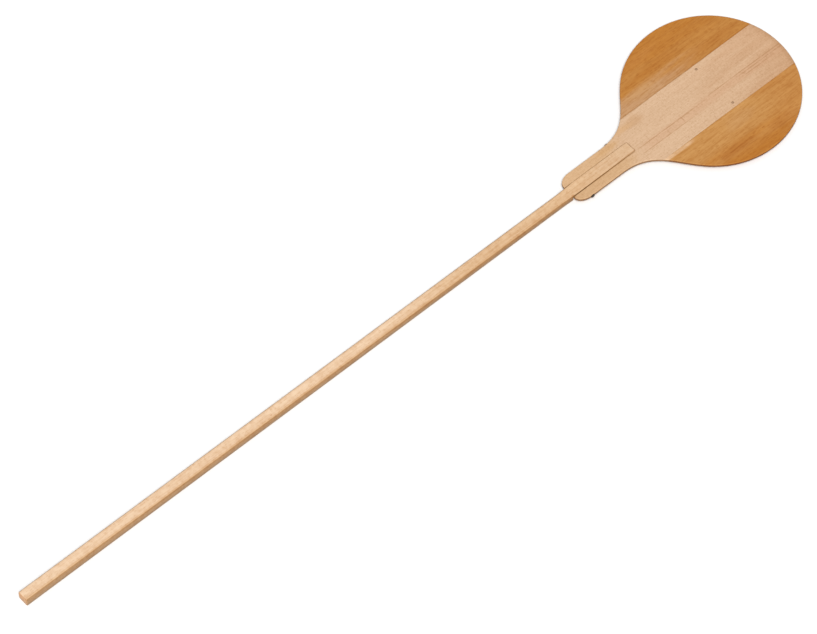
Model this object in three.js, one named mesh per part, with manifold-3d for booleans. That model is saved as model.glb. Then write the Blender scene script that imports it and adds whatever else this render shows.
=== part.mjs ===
// A long-handled round wooden peel: a three-board blade with a forked neck, and a handle let into the fork.
// Millimetres. X runs along the handle to the blade's tip, Y to the left, Z up.
// The pieces are drawn about the round's centre, at x = 0 and y = 0, with the handle's underside at z = 0.
import * as THREE from 'three';
import { mergeVertices } from 'three/addons/utils/BufferGeometryUtils.js';
import Module from 'manifold-3d';

const wasm = await Module();
wasm.setup();

// Blade: distances along the handle are measured from the blade's centre
const bladeDiameter = 350;
const tipThickness = 5;
const edgeRound = 2;
const centreBoardWidth = 123;
const centreBoardOffset = 2;

// Neck and fork: the handle's line lies a little to the left of the round's centre
const handleOffset = 4.5;
const neckWidth = 68;
const neckThickness = 7;
const forkReach = 363;
const forkCornerLength = 28;
const forkCornerWidth = 18;
const slotDepth = 158;
const taperSetback = 5;

// Flare: a curve that leaves the round at an angle from the tip and runs out along the neck's side
const flareAngle = THREE.MathUtils.degToRad(134);
const flareReach = 254;
const flareBladePull = 60;
const flareNeckPull = 76;

// Tongue and groove between the wings and the centre board, set out from the flat underside
const tongueThickness = 2;
const tongueLength = 14;
const tongueCheek = 1.6;

// Handle: its end is measured from the blade's centre, like the fork; it is level with the neck at the fork
const handleReach = 1700;
const handleWidth = 25;
const gripThickness = 22.5;
const forkThickness = 15.5;
const handleRound = 4.5;
const handleEndEase = 1;
const tenonRound = 0.6;
const roundRunOut = 42;
const roundPastMouth = 20;

// Cross screws, one driven from each side of the neck, set out from the fork's mouth
const screwHeadDiameter = 6;
const screwHeadHeight = 2.4;
const screwShankDiameter = 3;
const screwLength = 40;
const screwPoint = 5;
const screwDriveWidth = 0.9;
const screwDriveDepth = 1;
const rightScrewFromMouth = 30;
const leftScrewFromMouth = 126;

// Lock pins through the tongues
const pinHeadDiameter = 3.6;
const pinHeadHeight = 0.9;
const pinShankDiameter = 2.2;
const pinLength = 4.8;
const pinPoint = 1.2;
const pinInset = 10;
const pinAhead = 10.5;
const pinSink = 0.2;

// Clearances
const glueGap = 0.3;
const slotSeatGap = 0.3;
const slotEndGap = 0.5;
const slotMouthGap = 1.8;
const screwHoleGap = 0.3;
const pinHoleGap = 0.2;

// Facets
const roundSegments = 72;
const flareSegments = 16;
const cornerSegments = 6;
const edgeSegments = 3;
const turnSegments = 24;
const domeSegments = 5;

// Sizes that follow
const bladeRadius = bladeDiameter / 2;
const halfBoard = centreBoardWidth / 2;
const halfNeck = neckWidth / 2;
const underside = forkThickness - neckThickness;
const slotEnd = slotDepth - forkReach;
const taperStart = slotEnd + taperSetback;
const taperSlope = (neckThickness - tipThickness) / (bladeRadius - taperStart);
const screwHeight = forkThickness - neckThickness / 2;
const beyond = handleReach + bladeRadius;

// A closed geometry as a solid that can be joined and cut.
function solidOf(geometry) {
  const bare = geometry.clone();
  bare.deleteAttribute('normal');
  bare.deleteAttribute('uv');
  const merged = mergeVertices(bare, 1e-4);
  const vertProperties = merged.attributes.position.array;
  const triVerts = new Uint32Array(merged.index.array);
  return new wasm.Manifold(new wasm.Mesh({ numProp: 3, vertProperties, triVerts }));
}

// A solid's surface as a geometry again.
function geometryOf(solid) {
  const { vertProperties, triVerts } = solid.getMesh();
  const geometry = new THREE.BufferGeometry();
  geometry.setAttribute('position', new THREE.BufferAttribute(vertProperties, 3));
  geometry.setIndex(new THREE.BufferAttribute(triVerts, 1));
  return geometry;
}

// A square block between two corners.
function block(low, high) {
  const from = new THREE.Vector3(...low);
  const to = new THREE.Vector3(...high);
  const size = to.clone().sub(from);
  const middle = from.add(to).divideScalar(2);
  return solidOf(new THREE.BoxGeometry(size.x, size.y, size.z).translate(middle.x, middle.y, middle.z));
}

// One side of the outline, from the fork's tip along the neck to where the flare meets the round.
function neckSide(side) {
  const neckEdge = handleOffset + side * halfNeck;
  const corner = new THREE.EllipseCurve(
    forkCornerLength - forkReach, neckEdge - side * forkCornerWidth,
    forkCornerLength, forkCornerWidth, Math.PI, Math.PI - side * Math.PI / 2, side > 0,
  );
  const meet = new THREE.Vector2(Math.cos(flareAngle), side * Math.sin(flareAngle)).multiplyScalar(bladeRadius);
  const along = new THREE.Vector2(-Math.sin(flareAngle), side * Math.cos(flareAngle));
  const flare = new THREE.CubicBezierCurve(
    new THREE.Vector2(-flareReach, neckEdge),
    new THREE.Vector2(flareNeckPull - flareReach, neckEdge),
    meet.clone().addScaledVector(along, flareBladePull),
    meet,
  );
  return [...corner.getPoints(cornerSegments), ...flare.getPoints(flareSegments)];
}

// The whole outline of blade, neck and fork, before the slot is cut.
function bladeOutline() {
  const round = new THREE.EllipseCurve(0, 0, bladeRadius, bladeRadius, -flareAngle, flareAngle);
  const rim = round.getPoints(roundSegments).slice(1, -1);
  return new THREE.Shape([...neckSide(-1), ...rim, ...neckSide(1).reverse()]);
}

// The glued-up blank with eased edges: flat on its underside, its top planed down from the neck to the tip.
function bladeBlank() {
  const even = new THREE.ExtrudeGeometry(bladeOutline(), {
    depth: neckThickness - 2 * edgeRound,
    bevelThickness: edgeRound,
    bevelSize: edgeRound,
    bevelOffset: -edgeRound,
    bevelSegments: edgeSegments,
  });
  even.translate(0, 0, underside + edgeRound);
  const planed = even.clone();
  const places = planed.attributes.position;
  for (let i = 0; i < places.count; i += 1) {
    if (places.getZ(i) > screwHeight) {
      places.setZ(i, places.getZ(i) - taperSlope * (places.getX(i) - taperStart));
    }
  }
  const ahead = block([taperStart, -beyond, -beyond], [beyond, beyond, beyond]);
  return solidOf(even).subtract(ahead).add(solidOf(planed).intersect(ahead));
}

// The handle's thickness: it thins evenly from the grip's end to the fork's mouth.
function thicknessAt(x) {
  const share = Math.min((x + handleReach) / (handleReach - forkReach), 1);
  return THREE.MathUtils.lerp(gripThickness, forkThickness, share);
}

// The handle's section: a rectangle on the flat underside, drawn in by inset, with rounded corners.
function handleSection(x, inset, round) {
  const middle = thicknessAt(x) / 2;
  const reachY = handleWidth / 2 - inset - round;
  const reachZ = middle - inset - round;
  const corners = [[1, 1], [-1, 1], [-1, -1], [1, -1]];
  return corners.flatMap(([y, z], quarter) => {
    const start = quarter * Math.PI / 2;
    const arc = new THREE.EllipseCurve(
      handleOffset + y * reachY, middle + z * reachZ, round, round, start, start + Math.PI / 2,
    );
    return arc.getPoints(cornerSegments).map((point) => new THREE.Vector3(x, point.x, point.y));
  });
}

// A skin over sections of equal count, closed by a fan at each end.
function loft(sections) {
  const count = sections[0].length;
  const index = [];
  for (let s = 0; s + 1 < sections.length; s += 1) {
    for (let i = 0; i < count; i += 1) {
      const a = s * count + i;
      const b = s * count + (i + 1) % count;
      index.push(a, b, a + count, b, b + count, a + count);
    }
  }
  const last = (sections.length - 1) * count;
  for (let i = 1; i + 1 < count; i += 1) {
    index.push(0, i + 1, i);
    index.push(last, last + i, last + i + 1);
  }
  const geometry = new THREE.BufferGeometry().setFromPoints(sections.flat());
  geometry.setIndex(index);
  return geometry;
}

// The handle: rounded along the grip, run out to a square tenon that is rebated to the neck's thickness.
function handleBar() {
  const runOutEnd = roundPastMouth - forkReach;
  const tenonEnd = slotEnd - glueGap;
  const bar = solidOf(loft([
    handleSection(-handleReach, handleEndEase, handleRound - handleEndEase),
    handleSection(handleEndEase - handleReach, 0, handleRound),
    handleSection(runOutEnd - roundRunOut, 0, handleRound),
    handleSection(runOutEnd, 0, tenonRound),
    handleSection(tenonEnd, 0, tenonRound),
  ]));
  const rebate = block([-forkReach, -beyond, -beyond], [beyond, beyond, underside]);
  return bar.subtract(rebate);
}

// A round-head screw along Y, its head's seat at y = 0 and its head towards +Y.
function screwGeometry() {
  const shank = screwShankDiameter / 2;
  const head = screwHeadDiameter / 2;
  const dome = new THREE.EllipseCurve(0, 0, head, screwHeadHeight, 0, Math.PI / 2).getPoints(domeSegments);
  const profile = [
    new THREE.Vector2(0, -screwLength),
    new THREE.Vector2(shank, screwPoint - screwLength),
    new THREE.Vector2(shank, 0),
    ...dome.slice(0, -1),
    new THREE.Vector2(0, screwHeadHeight),
  ];
  const drive = block(
    [-head, screwHeadHeight - screwDriveDepth, -screwDriveWidth / 2],
    [head, 2 * screwHeadHeight, screwDriveWidth / 2],
  );
  return geometryOf(solidOf(new THREE.LatheGeometry(profile, turnSegments)).subtract(drive));
}

// A flat-head pin along Z, its head's top at z = 0; the gap makes the hole that it stands in.
function pinGeometry(gap, above) {
  const shank = pinShankDiameter / 2 + gap;
  const head = pinHeadDiameter / 2 + gap;
  const profile = [
    new THREE.Vector2(0, -pinLength - gap),
    new THREE.Vector2(shank, pinPoint - pinLength - gap),
    new THREE.Vector2(shank, -pinHeadHeight - gap),
    new THREE.Vector2(head, -pinHeadHeight - gap),
    new THREE.Vector2(head, above),
    new THREE.Vector2(0, above),
  ];
  return new THREE.LatheGeometry(profile, turnSegments).rotateX(Math.PI / 2);
}

// Where the screws and pins stand: side is 1 on the left and -1 on the right.
const screwSeats = [
  { name: 'left_cross_screw', side: 1, turn: 0, x: leftScrewFromMouth - forkReach },
  { name: 'right_cross_screw', side: -1, turn: Math.PI, x: rightScrewFromMouth - forkReach },
];
const pinSeats = [
  { name: 'left_lock_pin', side: 1 },
  { name: 'right_lock_pin', side: -1 },
];
const pinTop = forkThickness - taperSlope * (pinAhead - taperStart) - pinSink;

// The hole that a screw passes through to just past its point, opened at the neck's side to seat its head.
function screwHole(seat) {
  const shank = screwShankDiameter / 2 + screwHoleGap;
  const head = screwHeadDiameter / 2 + screwHoleGap;
  const profile = [
    new THREE.Vector2(0, -screwLength - screwHoleGap),
    new THREE.Vector2(shank, -screwLength - screwHoleGap),
    new THREE.Vector2(shank, 0),
    new THREE.Vector2(head, 0),
    new THREE.Vector2(head, neckThickness),
    new THREE.Vector2(0, neckThickness),
  ];
  const hole = new THREE.LatheGeometry(profile, turnSegments);
  hole.rotateX(seat.turn).translate(seat.x, handleOffset + seat.side * halfNeck, screwHeight);
  return solidOf(hole);
}

// The hole that a pin stands in.
function pinHole(seat) {
  const hole = pinGeometry(pinHoleGap, neckThickness);
  return solidOf(hole.translate(pinAhead, centreBoardOffset + seat.side * (halfBoard - pinInset), pinTop));
}

// A tongue along one joint, or with a gap the groove that takes it.
function tongueBlock(side, gap, root) {
  const inner = centreBoardOffset + side * (halfBoard - tongueLength - gap);
  const outer = centreBoardOffset + side * (halfBoard + root);
  const low = underside + tongueCheek - gap;
  return block(
    [-beyond, Math.min(inner, outer), low],
    [beyond, Math.max(inner, outer), low + tongueThickness + 2 * gap],
  );
}

// The fork's slot: its left side lies along the handle, and its right side opens towards the mouth.
function forkSlot() {
  const left = handleOffset + handleWidth / 2 + slotSeatGap;
  const right = handleOffset - handleWidth / 2 - slotEndGap;
  const outside = slotEnd - 2 * slotDepth;
  const shape = new THREE.Shape([
    new THREE.Vector2(outside, right - 2 * (slotMouthGap - slotEndGap)),
    new THREE.Vector2(slotEnd, right),
    new THREE.Vector2(slotEnd, left),
    new THREE.Vector2(outside, left),
  ]);
  return solidOf(new THREE.ExtrudeGeometry(shape, { depth: beyond, bevelEnabled: false }));
}

const blank = bladeBlank();
const screwHoles = screwSeats.map(screwHole);
const pinHoles = pinSeats.map(pinHole);

// The centre board with its fork, grooves and holes.
function centreBoard() {
  const [right, left] = [-1, 1].map((side) => centreBoardOffset + side * halfBoard);
  const strip = block([-beyond, right, -beyond], [beyond, left, beyond]);
  const grooves = [1, -1].map((side) => tongueBlock(side, glueGap, tongueLength));
  const cuts = [forkSlot(), ...grooves, ...screwHoles, ...pinHoles];
  return cuts.reduce((board, cut) => board.subtract(cut), blank.intersect(strip));
}

// A wing with the tongue that enters the centre board.
function wing(side) {
  const inner = centreBoardOffset + side * (halfBoard + glueGap);
  const outer = side * beyond;
  const half = block([-beyond, Math.min(inner, outer), -beyond], [beyond, Math.max(inner, outer), beyond]);
  const tongue = blank.intersect(tongueBlock(side, 0, tongueLength));
  return pinHoles.reduce((board, hole) => board.subtract(hole), blank.intersect(half).add(tongue));
}

// The handle with the holes that the screws enter.
function handle() {
  return screwHoles.reduce((bar, hole) => bar.subtract(hole), handleBar());
}

const finishes = {
  centre: { color: 0xd8b18d, roughness: 0.62, metalness: 0 },
  wing: { color: 0xc58c50, roughness: 0.58, metalness: 0 },
  handle: { color: 0xebcaa7, roughness: 0.6, metalness: 0 },
  screw: { color: 0x6e6a64, roughness: 0.42, metalness: 0.9 },
  pin: { color: 0x6a5848, roughness: 0.6, metalness: 0.7 },
};

const peel = new THREE.Group();

// Adds one named piece with a finish of its own.
function addPiece(name, geometry, finish) {
  const piece = new THREE.Mesh(geometry, new THREE.MeshStandardMaterial({ ...finish, flatShading: true }));
  piece.name = name;
  peel.add(piece);
  return piece;
}

addPiece('centre_board', geometryOf(centreBoard()), finishes.centre);
addPiece('left_wing', geometryOf(wing(1)), finishes.wing);
addPiece('right_wing', geometryOf(wing(-1)), finishes.wing);
addPiece('handle', geometryOf(handle()), finishes.handle);
screwSeats.forEach(({ name, side, turn, x }) => {
  const screw = addPiece(name, screwGeometry(), finishes.screw);
  screw.position.set(x, handleOffset + side * halfNeck, screwHeight);
  screw.rotation.x = turn;
});
pinSeats.forEach(({ name, side }) => {
  const pin = addPiece(name, pinGeometry(0, 0), finishes.pin);
  pin.position.set(pinAhead, centreBoardOffset + side * (halfBoard - pinInset), pinTop);
});

// The origin is under the middle of the whole length.
peel.position.x = (handleReach - bladeRadius) / 2;

export default peel;
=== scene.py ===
"""Long-handled round wooden pizza peel: fine meshes, wood and steel finishes, and a plain studio.

The peel lies with its handle along X. The blade's tip is at the high end of X, its left wing at the high
end of Y, and its carrying face looks up. Lengths are in metres and angles in radians.
"""
import logging
import math
from collections.abc import Iterable, Mapping, Sequence
from dataclasses import dataclass
from enum import Enum

import bmesh
import bpy
from mathutils import Matrix, Vector
from mathutils.geometry import interpolate_bezier


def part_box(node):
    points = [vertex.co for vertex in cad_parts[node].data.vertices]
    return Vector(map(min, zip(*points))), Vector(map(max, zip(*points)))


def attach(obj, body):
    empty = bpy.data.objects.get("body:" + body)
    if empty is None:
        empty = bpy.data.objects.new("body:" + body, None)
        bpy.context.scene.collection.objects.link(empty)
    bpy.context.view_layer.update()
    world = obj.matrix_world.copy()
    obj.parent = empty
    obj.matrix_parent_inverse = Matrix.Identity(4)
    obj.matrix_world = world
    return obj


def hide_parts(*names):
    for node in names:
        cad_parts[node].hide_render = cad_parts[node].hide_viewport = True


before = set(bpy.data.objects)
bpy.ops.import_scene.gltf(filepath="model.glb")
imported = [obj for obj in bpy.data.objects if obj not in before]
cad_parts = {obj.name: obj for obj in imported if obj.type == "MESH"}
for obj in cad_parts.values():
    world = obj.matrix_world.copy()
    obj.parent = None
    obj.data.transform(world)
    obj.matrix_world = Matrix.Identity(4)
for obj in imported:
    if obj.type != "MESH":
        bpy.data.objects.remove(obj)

LOG = logging.getLogger("pizza_peel")
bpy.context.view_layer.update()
BODY = "root"

# Limits and shapes that the mesh tools share
TOUCH = 1e-6
NEAR = 1e-5
CLEARANCE = 0.02
FLAT_NORMAL = 0.9998
LEVEL_NORMAL = 0.9
LEVEL_SLOPE = 0.1
SHARP_ANGLE = math.radians(32)
LEVEL_ANGLE = math.radians(0.02)
RIM_ANGLE = math.radians(60)
JOINT_ANGLE = math.radians(50)
QUARTER_TURN = math.pi / 2
ROUND_PULL = 0.5523
ROUND_PROFILE = 0.5
UNIT_REACH = 0.5

# How fine the patterns in a wood are, in repeats to the metre along, across and up
RING_SWAY = (1.6, 12, 12)
TONE_EDGE = (7, 60, 60)
PATCH_EDGE = (14, 45, 45)
BANDS = (2.2, 55, 40)
FIBRES = (45, 2600, 2200)

# Where a pattern starts to show, and where it shows in full
RING_RISE = (0.15, 0.8)
RING_FALL = (1.0, 0.86)
FLECK_EDGE = (0.42, 0.2)
FLECK_CHOICE = (0.45, 0.75)
BAND_RISE = (0.32, 0.68)
STREAK_RISE = (0.42, 0.78)
FIBRE_RISE = (0.45, 0.75)
MOTTLE_RISE = (0.35, 0.7)
SHEEN_RISE = (0.25, 0.75)
PATCH_RISE = (1.6, 0.85)
BREAK_RISE = (0.3, 0.6)

# How the marks in a wood are drawn: swings as shares of a size, cores as shares of a width
NOISE_MEAN = 0.5
RAGGED_SWING = 1.2
RING_SWING = 4
LINE_SWING = 2
LINE_CORE = 0.2
LINE_START = 0.02
STAIN_CORE = 0.45
BREAK_LENGTH = 0.012
BREAK_WIDTH = 0.004
BREAK_SHADE = (0.25, 1.0)
FIBRE_RELIEF = 0.6
FLECK_RELIEF = 0.4
RING_RELIEF = 0.25

# Places of the two colours and of the result among the Mix node's sockets
MIX_BASE = 6
MIX_OTHER = 7
MIX_RESULT = 2

Mesh = bmesh.types.BMesh
Vert = bmesh.types.BMVert
Edge = bmesh.types.BMEdge
Socket = bpy.types.NodeSocket
Colour = tuple[float, float, float]
Shown = tuple[int, int, int]
Span = tuple[float, float]
Feed = Socket | float | Sequence[float]
Feeds = Mapping[str | int, Feed]


class Side(Enum):
    """Which side of the peel a piece is on, as the sign of its Y."""

    LEFT = 1
    RIGHT = -1

    @property
    def word(self) -> str:
        """The side's name, as it stands in a piece's name."""
        return self.name.lower()


class Axis(Enum):
    """An axis of the peel's frame, by its place in a vector."""

    ALONG = 0
    ACROSS = 1
    UP = 2


def linear(shown: Shown) -> Colour:
    """Turns a colour as a display shows it into linear light, by the sRGB curve."""
    shares = (channel / 255 for channel in shown)
    return tuple(s / 12.92 if s <= 0.04045 else ((s + 0.055) / 1.055) ** 2.4 for s in shares)


# Mesh helpers


def run(mesh: Mesh, start: Vert, points: Iterable[Vector]) -> Vert:
    """Draws an outline on from a vertex, one edge to each point.

    Args:
        mesh: the mesh that holds the outline.
        start: the vertex where the outline stands.
        points: where it goes next, in order.

    Returns:
        The vertex at the last point.
    """
    last = start
    for point in points:
        made = bmesh.ops.extrude_vert_indiv(mesh, verts=[last])
        last = made["verts"][0]
        last.co = point
    return last


def turned_on(mesh: Mesh, start: Vert, centre: Vector, angle: float, steps: int) -> Vert:
    """Draws an outline on from a vertex, round an upright axis, and gives the vertex at the arc's end."""
    made = bmesh.ops.spin(mesh, geom=[start], cent=centre, axis=(0, 0, 1), angle=angle, steps=steps)
    return next(item for item in made["geom_last"] if isinstance(item, Vert))


def face_out(mesh: Mesh) -> None:
    """Turns the front of every face outward."""
    bmesh.ops.recalc_face_normals(mesh, faces=mesh.faces[:])


def lathe(profile: Iterable[Span], place: Vector, axis: Vector, steps: int) -> Mesh:
    """Turns a profile on a lathe.

    Args:
        profile: pairs of radius and height along the axis, which start and end on the axis.
        place: the point that height 0 stands for.
        axis: the direction of rising height.
        steps: the number of facets round the axis.

    Returns:
        The turned closed mesh.
    """
    mesh = bmesh.new()
    first, *rest = [place + axis * height + axis.orthogonal() * radius for radius, height in profile]
    run(mesh, mesh.verts.new(first), rest)
    bmesh.ops.spin(mesh, geom=mesh.verts[:] + mesh.edges[:], cent=place, axis=axis, angle=math.tau,
                   steps=steps, use_merge=True)
    bmesh.ops.remove_doubles(mesh, verts=mesh.verts[:], dist=TOUCH)
    face_out(mesh)
    return mesh


def block(low: Sequence[float], high: Sequence[float]) -> Mesh:
    """Makes a plain block as a cutting tool.

    Args:
        low: its lowest corner.
        high: its highest corner.

    Returns:
        The block's mesh.
    """
    mesh = bmesh.new()
    size = Vector(high) - Vector(low)
    middle = (Vector(high) + Vector(low)) / 2
    bmesh.ops.create_cube(mesh, size=1, matrix=Matrix.Translation(middle) @ Matrix.Diagonal(size).to_4x4())
    return mesh


def clean(mesh: Mesh) -> None:
    """Merges points that fall together and splits uneven faces, so that the next cut finds true planes."""
    bmesh.ops.remove_doubles(mesh, verts=mesh.verts[:], dist=NEAR)
    bmesh.ops.dissolve_degenerate(mesh, dist=NEAR, edges=mesh.edges[:])
    bmesh.ops.connect_verts_nonplanar(mesh, angle_limit=LEVEL_ANGLE, faces=mesh.faces[:])
    mesh.normal_update()


def as_object(mesh: Mesh, name: str) -> bpy.types.Object:
    """Puts a mesh into the scene as an object at the origin."""
    data = bpy.data.meshes.new(name)
    mesh.to_mesh(data)
    made = bpy.data.objects.new(name, data)
    bpy.context.scene.collection.objects.link(made)
    return made


def cut_away(mesh: Mesh, tool: Mesh) -> None:
    """Cuts a tool out of a workpiece and uses the tool up.

    Args:
        mesh: the workpiece, which is changed.
        tool: the closed mesh that cuts.
    """
    body = as_object(mesh, "workpiece")
    other = as_object(tool, "tool")
    step = body.modifiers.new("cut", "BOOLEAN")
    step.operation = "DIFFERENCE"
    step.solver = "EXACT"
    step.object = other
    done = bpy.data.meshes.new_from_object(body.evaluated_get(bpy.context.evaluated_depsgraph_get()))
    mesh.clear()
    mesh.from_mesh(done)
    clean(mesh)
    tool.free()
    for used in (body.data, other.data, done):
        bpy.data.meshes.remove(used)


def split(mesh: Mesh, point: Sequence[float], normal: Sequence[float], drop: bool) -> None:
    """Saws through a mesh along a plane.

    Args:
        mesh: the mesh, which is changed.
        point: a point of the plane.
        normal: the plane's normal.
        drop: whether what lies in front of the plane is dropped and the cut is closed.
    """
    everything = mesh.verts[:] + mesh.edges[:] + mesh.faces[:]
    made = bmesh.ops.bisect_plane(mesh, geom=everything, dist=NEAR, plane_co=point, plane_no=normal,
                                  use_snap_center=True, clear_outer=drop)
    if drop:
        rim = [item for item in made["geom_cut"] if isinstance(item, Edge)]
        bmesh.ops.edgeloop_fill(mesh, edges=rim)
        face_out(mesh)
        clean(mesh)


def ease(mesh: Mesh, edges: Sequence[Edge], radius: float, segments: int) -> None:
    """Rounds edges over."""
    bmesh.ops.bevel(mesh, geom=list(edges), offset=radius, offset_type="OFFSET", segments=segments,
                    profile=ROUND_PROFILE, affect="EDGES", clamp_overlap=True, loop_slide=True, material=-1)
    clean(mesh)


def piece(mesh: Mesh, node: str, material: bpy.types.Material) -> None:
    """Finishes a mesh as the visible piece that stands for a solid of the frame.

    Args:
        mesh: the finished mesh, which is used up.
        node: the solid's name, which the piece takes too, with "fine" before it.
        material: the finish.
    """
    for face in mesh.faces:
        face.smooth = max(map(abs, face.normal)) < FLAT_NORMAL
    for edge in mesh.edges:
        edge.smooth = edge.is_manifold and edge.calc_face_angle() < SHARP_ANGLE
    made = as_object(mesh, f"fine_{node}")
    mesh.free()
    made.data.materials.append(material)
    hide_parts(node)
    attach(made, BODY)
    LOG.info("%s: %d faces", made.name, len(made.data.polygons))


# Finishes


class Graph:
    """A new material with short ways to add and join its nodes."""

    def __init__(self, name: str) -> None:
        """Starts a material with a shader, an output and the place that its patterns follow.

        Args:
            name: the material's name.
        """
        self.material = bpy.data.materials.new(name)
        self.material.use_nodes = True
        self.tree = self.material.node_tree
        self.tree.nodes.clear()
        self.shader = self.add("ShaderNodeBsdfPrincipled")
        self.add("ShaderNodeOutputMaterial", {"Surface": self.shader.outputs["BSDF"]})
        self.texture_place = self.add("ShaderNodeTexCoord")

    @property
    def place(self) -> Socket:
        """The place on the object, in metres."""
        return self.texture_place.outputs["Object"]

    @property
    def facing(self) -> Socket:
        """The direction that the surface faces."""
        return self.texture_place.outputs["Normal"]

    def feed(self, node: bpy.types.Node, feeds: Feeds) -> None:
        """Joins a node's sockets to others, or sets them to plain values.

        Args:
            node: the node.
            feeds: what goes into each socket, by the socket's name or place.
        """
        for key, value in feeds.items():
            socket = node.inputs[key]
            if isinstance(value, Socket):
                self.tree.links.new(value, socket)
            elif isinstance(value, (int, float)):
                socket.default_value = value
            else:
                socket.default_value = (*value, 1) if socket.type == "RGBA" else tuple(value)

    def add(self, kind: str, feeds: Feeds | None = None, **settings: object) -> bpy.types.Node:
        """Adds a node.

        Args:
            kind: the node's type name.
            feeds: what goes into its sockets.
            **settings: the node's own properties.

        Returns:
            The node.
        """
        node = self.tree.nodes.new(kind)
        for key, value in settings.items():
            setattr(node, key, value)
        self.feed(node, feeds or {})
        return node

    def math(self, operation: str, first: Feed, *others: Feed) -> Feed:
        """Works one operation along a row of values.

        Args:
            operation: the Math node's operation.
            first: the first value, or the only one.
            *others: the values that are worked in, one after the other.

        Returns:
            The result.
        """
        if not others:
            return self.add("ShaderNodeMath", {0: first}, operation=operation).outputs[0]
        for other in others:
            first = self.add("ShaderNodeMath", {0: first, 1: other}, operation=operation).outputs[0]
        return first

    def times(self, first: Feed, *others: Feed) -> Feed:
        """Multiplies values."""
        return self.math("MULTIPLY", first, *others)

    def swing(self, noise: Socket, reach: float) -> Feed:
        """Turns noise into a swing about 0."""
        return self.times(self.math("SUBTRACT", noise, NOISE_MEAN), reach)

    def split(self, vector: Socket) -> list[Socket]:
        """Takes a vector apart into its three values."""
        return list(self.add("ShaderNodeSeparateXYZ", {0: vector}).outputs)

    def scaled(self, scale: Sequence[float], shift: Sequence[float] = (0, 0, 0)) -> Socket:
        """The place in repeats of a pattern, from its repeats to the metre and how many it is shifted by."""
        feeds = {"Vector": self.place, "Scale": scale, "Location": shift}
        return self.add("ShaderNodeMapping", feeds).outputs[0]

    def noise(self, place: Socket, detail: float = 2.0, rough: float = 0.5) -> Socket:
        """Reads cloudy noise at a scaled place, with so many finer layers that are so strong."""
        feeds = {"Vector": place, "Scale": 1.0, "Detail": detail, "Roughness": rough}
        return self.add("ShaderNodeTexNoise", feeds).outputs[0]

    def distance(self, centre: Vector) -> Socket:
        """How far the place is from a point."""
        feeds = {0: self.place, 1: centre}
        return self.add("ShaderNodeVectorMath", feeds, operation="DISTANCE").outputs["Value"]

    def ramp(self, value: Feed, low: float, high: float, to_low: float = 0.0, to_high: float = 1.0) -> Socket:
        """Eases a value from one range into another.

        Args:
            value: the value.
            low: where the ramp starts.
            high: where it ends, which may be below its start.
            to_low: the result at the start.
            to_high: the result at the end.

        Returns:
            The eased value.
        """
        if low > high:
            low, high, to_low, to_high = high, low, to_high, to_low
        feeds = {"Value": value, "From Min": low, "From Max": high, "To Min": to_low, "To Max": to_high}
        return self.add("ShaderNodeMapRange", feeds, interpolation_type="SMOOTHSTEP").outputs["Result"]

    def mix(self, share: Feed, base: Feed, other: Feed, blend: str = "MIX") -> Socket:
        """Mixes so large a share of another colour into a base colour."""
        feeds = {"Factor": share, MIX_BASE: base, MIX_OTHER: other}
        return self.add("ShaderNodeMix", feeds, data_type="RGBA", blend_type=blend).outputs[MIX_RESULT]

    def bump(self, height: Feed, depth: float) -> None:
        """Gives the surface a fine relief, in which a height of 1 stands for the depth in metres."""
        relief = self.add("ShaderNodeBump", {"Height": height, "Distance": depth})
        self.feed(self.shader, {"Normal": relief.outputs[0]})


@dataclass(frozen=True)
class Fade:
    """A mask that eases in along an axis, from start to end."""

    axis: Axis
    start: float
    end: float


@dataclass(frozen=True)
class Tone:
    """A colour laid over a wood's base colour where all its fades meet."""

    colour: Shown
    strength: float
    fades: tuple[Fade, ...]


@dataclass(frozen=True)
class Patch:
    """A soft ragged patch of another colour, at a place on the board's face."""

    colour: Shown
    strength: float
    centre: Span
    reach: Span


@dataclass(frozen=True)
class Weathering:
    """Painted shade: a darker tint on the faces that look along an axis, or across it where the start is above
    the end. On the handle's ends it also stands for end grain's darker tone.
    """

    axis: Axis
    tint: Colour
    start: float
    end: float


@dataclass(frozen=True)
class Stain:
    """A round dark spot: iron staining in the wood about a fastener, or painted shade in the corner at the
    fork's mouth.
    """

    centre: Vector
    radius: float
    strength: float


@dataclass(frozen=True)
class GrainOrShadeLine:
    """A thin darker line that runs along the board: a grain line, a glue joint, or painted shade in the gap
    beside the fork's slot.
    """

    across: float
    width: float
    strength: float
    start: float
    end: float
    run_out: float = 0.06


@dataclass(frozen=True)
class Rim:
    """Painted shade: a darker band along the outside of the blade's front half, where its rounded edge turns
    from the light.
    """

    centre: Vector
    start: float
    end: float
    strength: float


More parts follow.
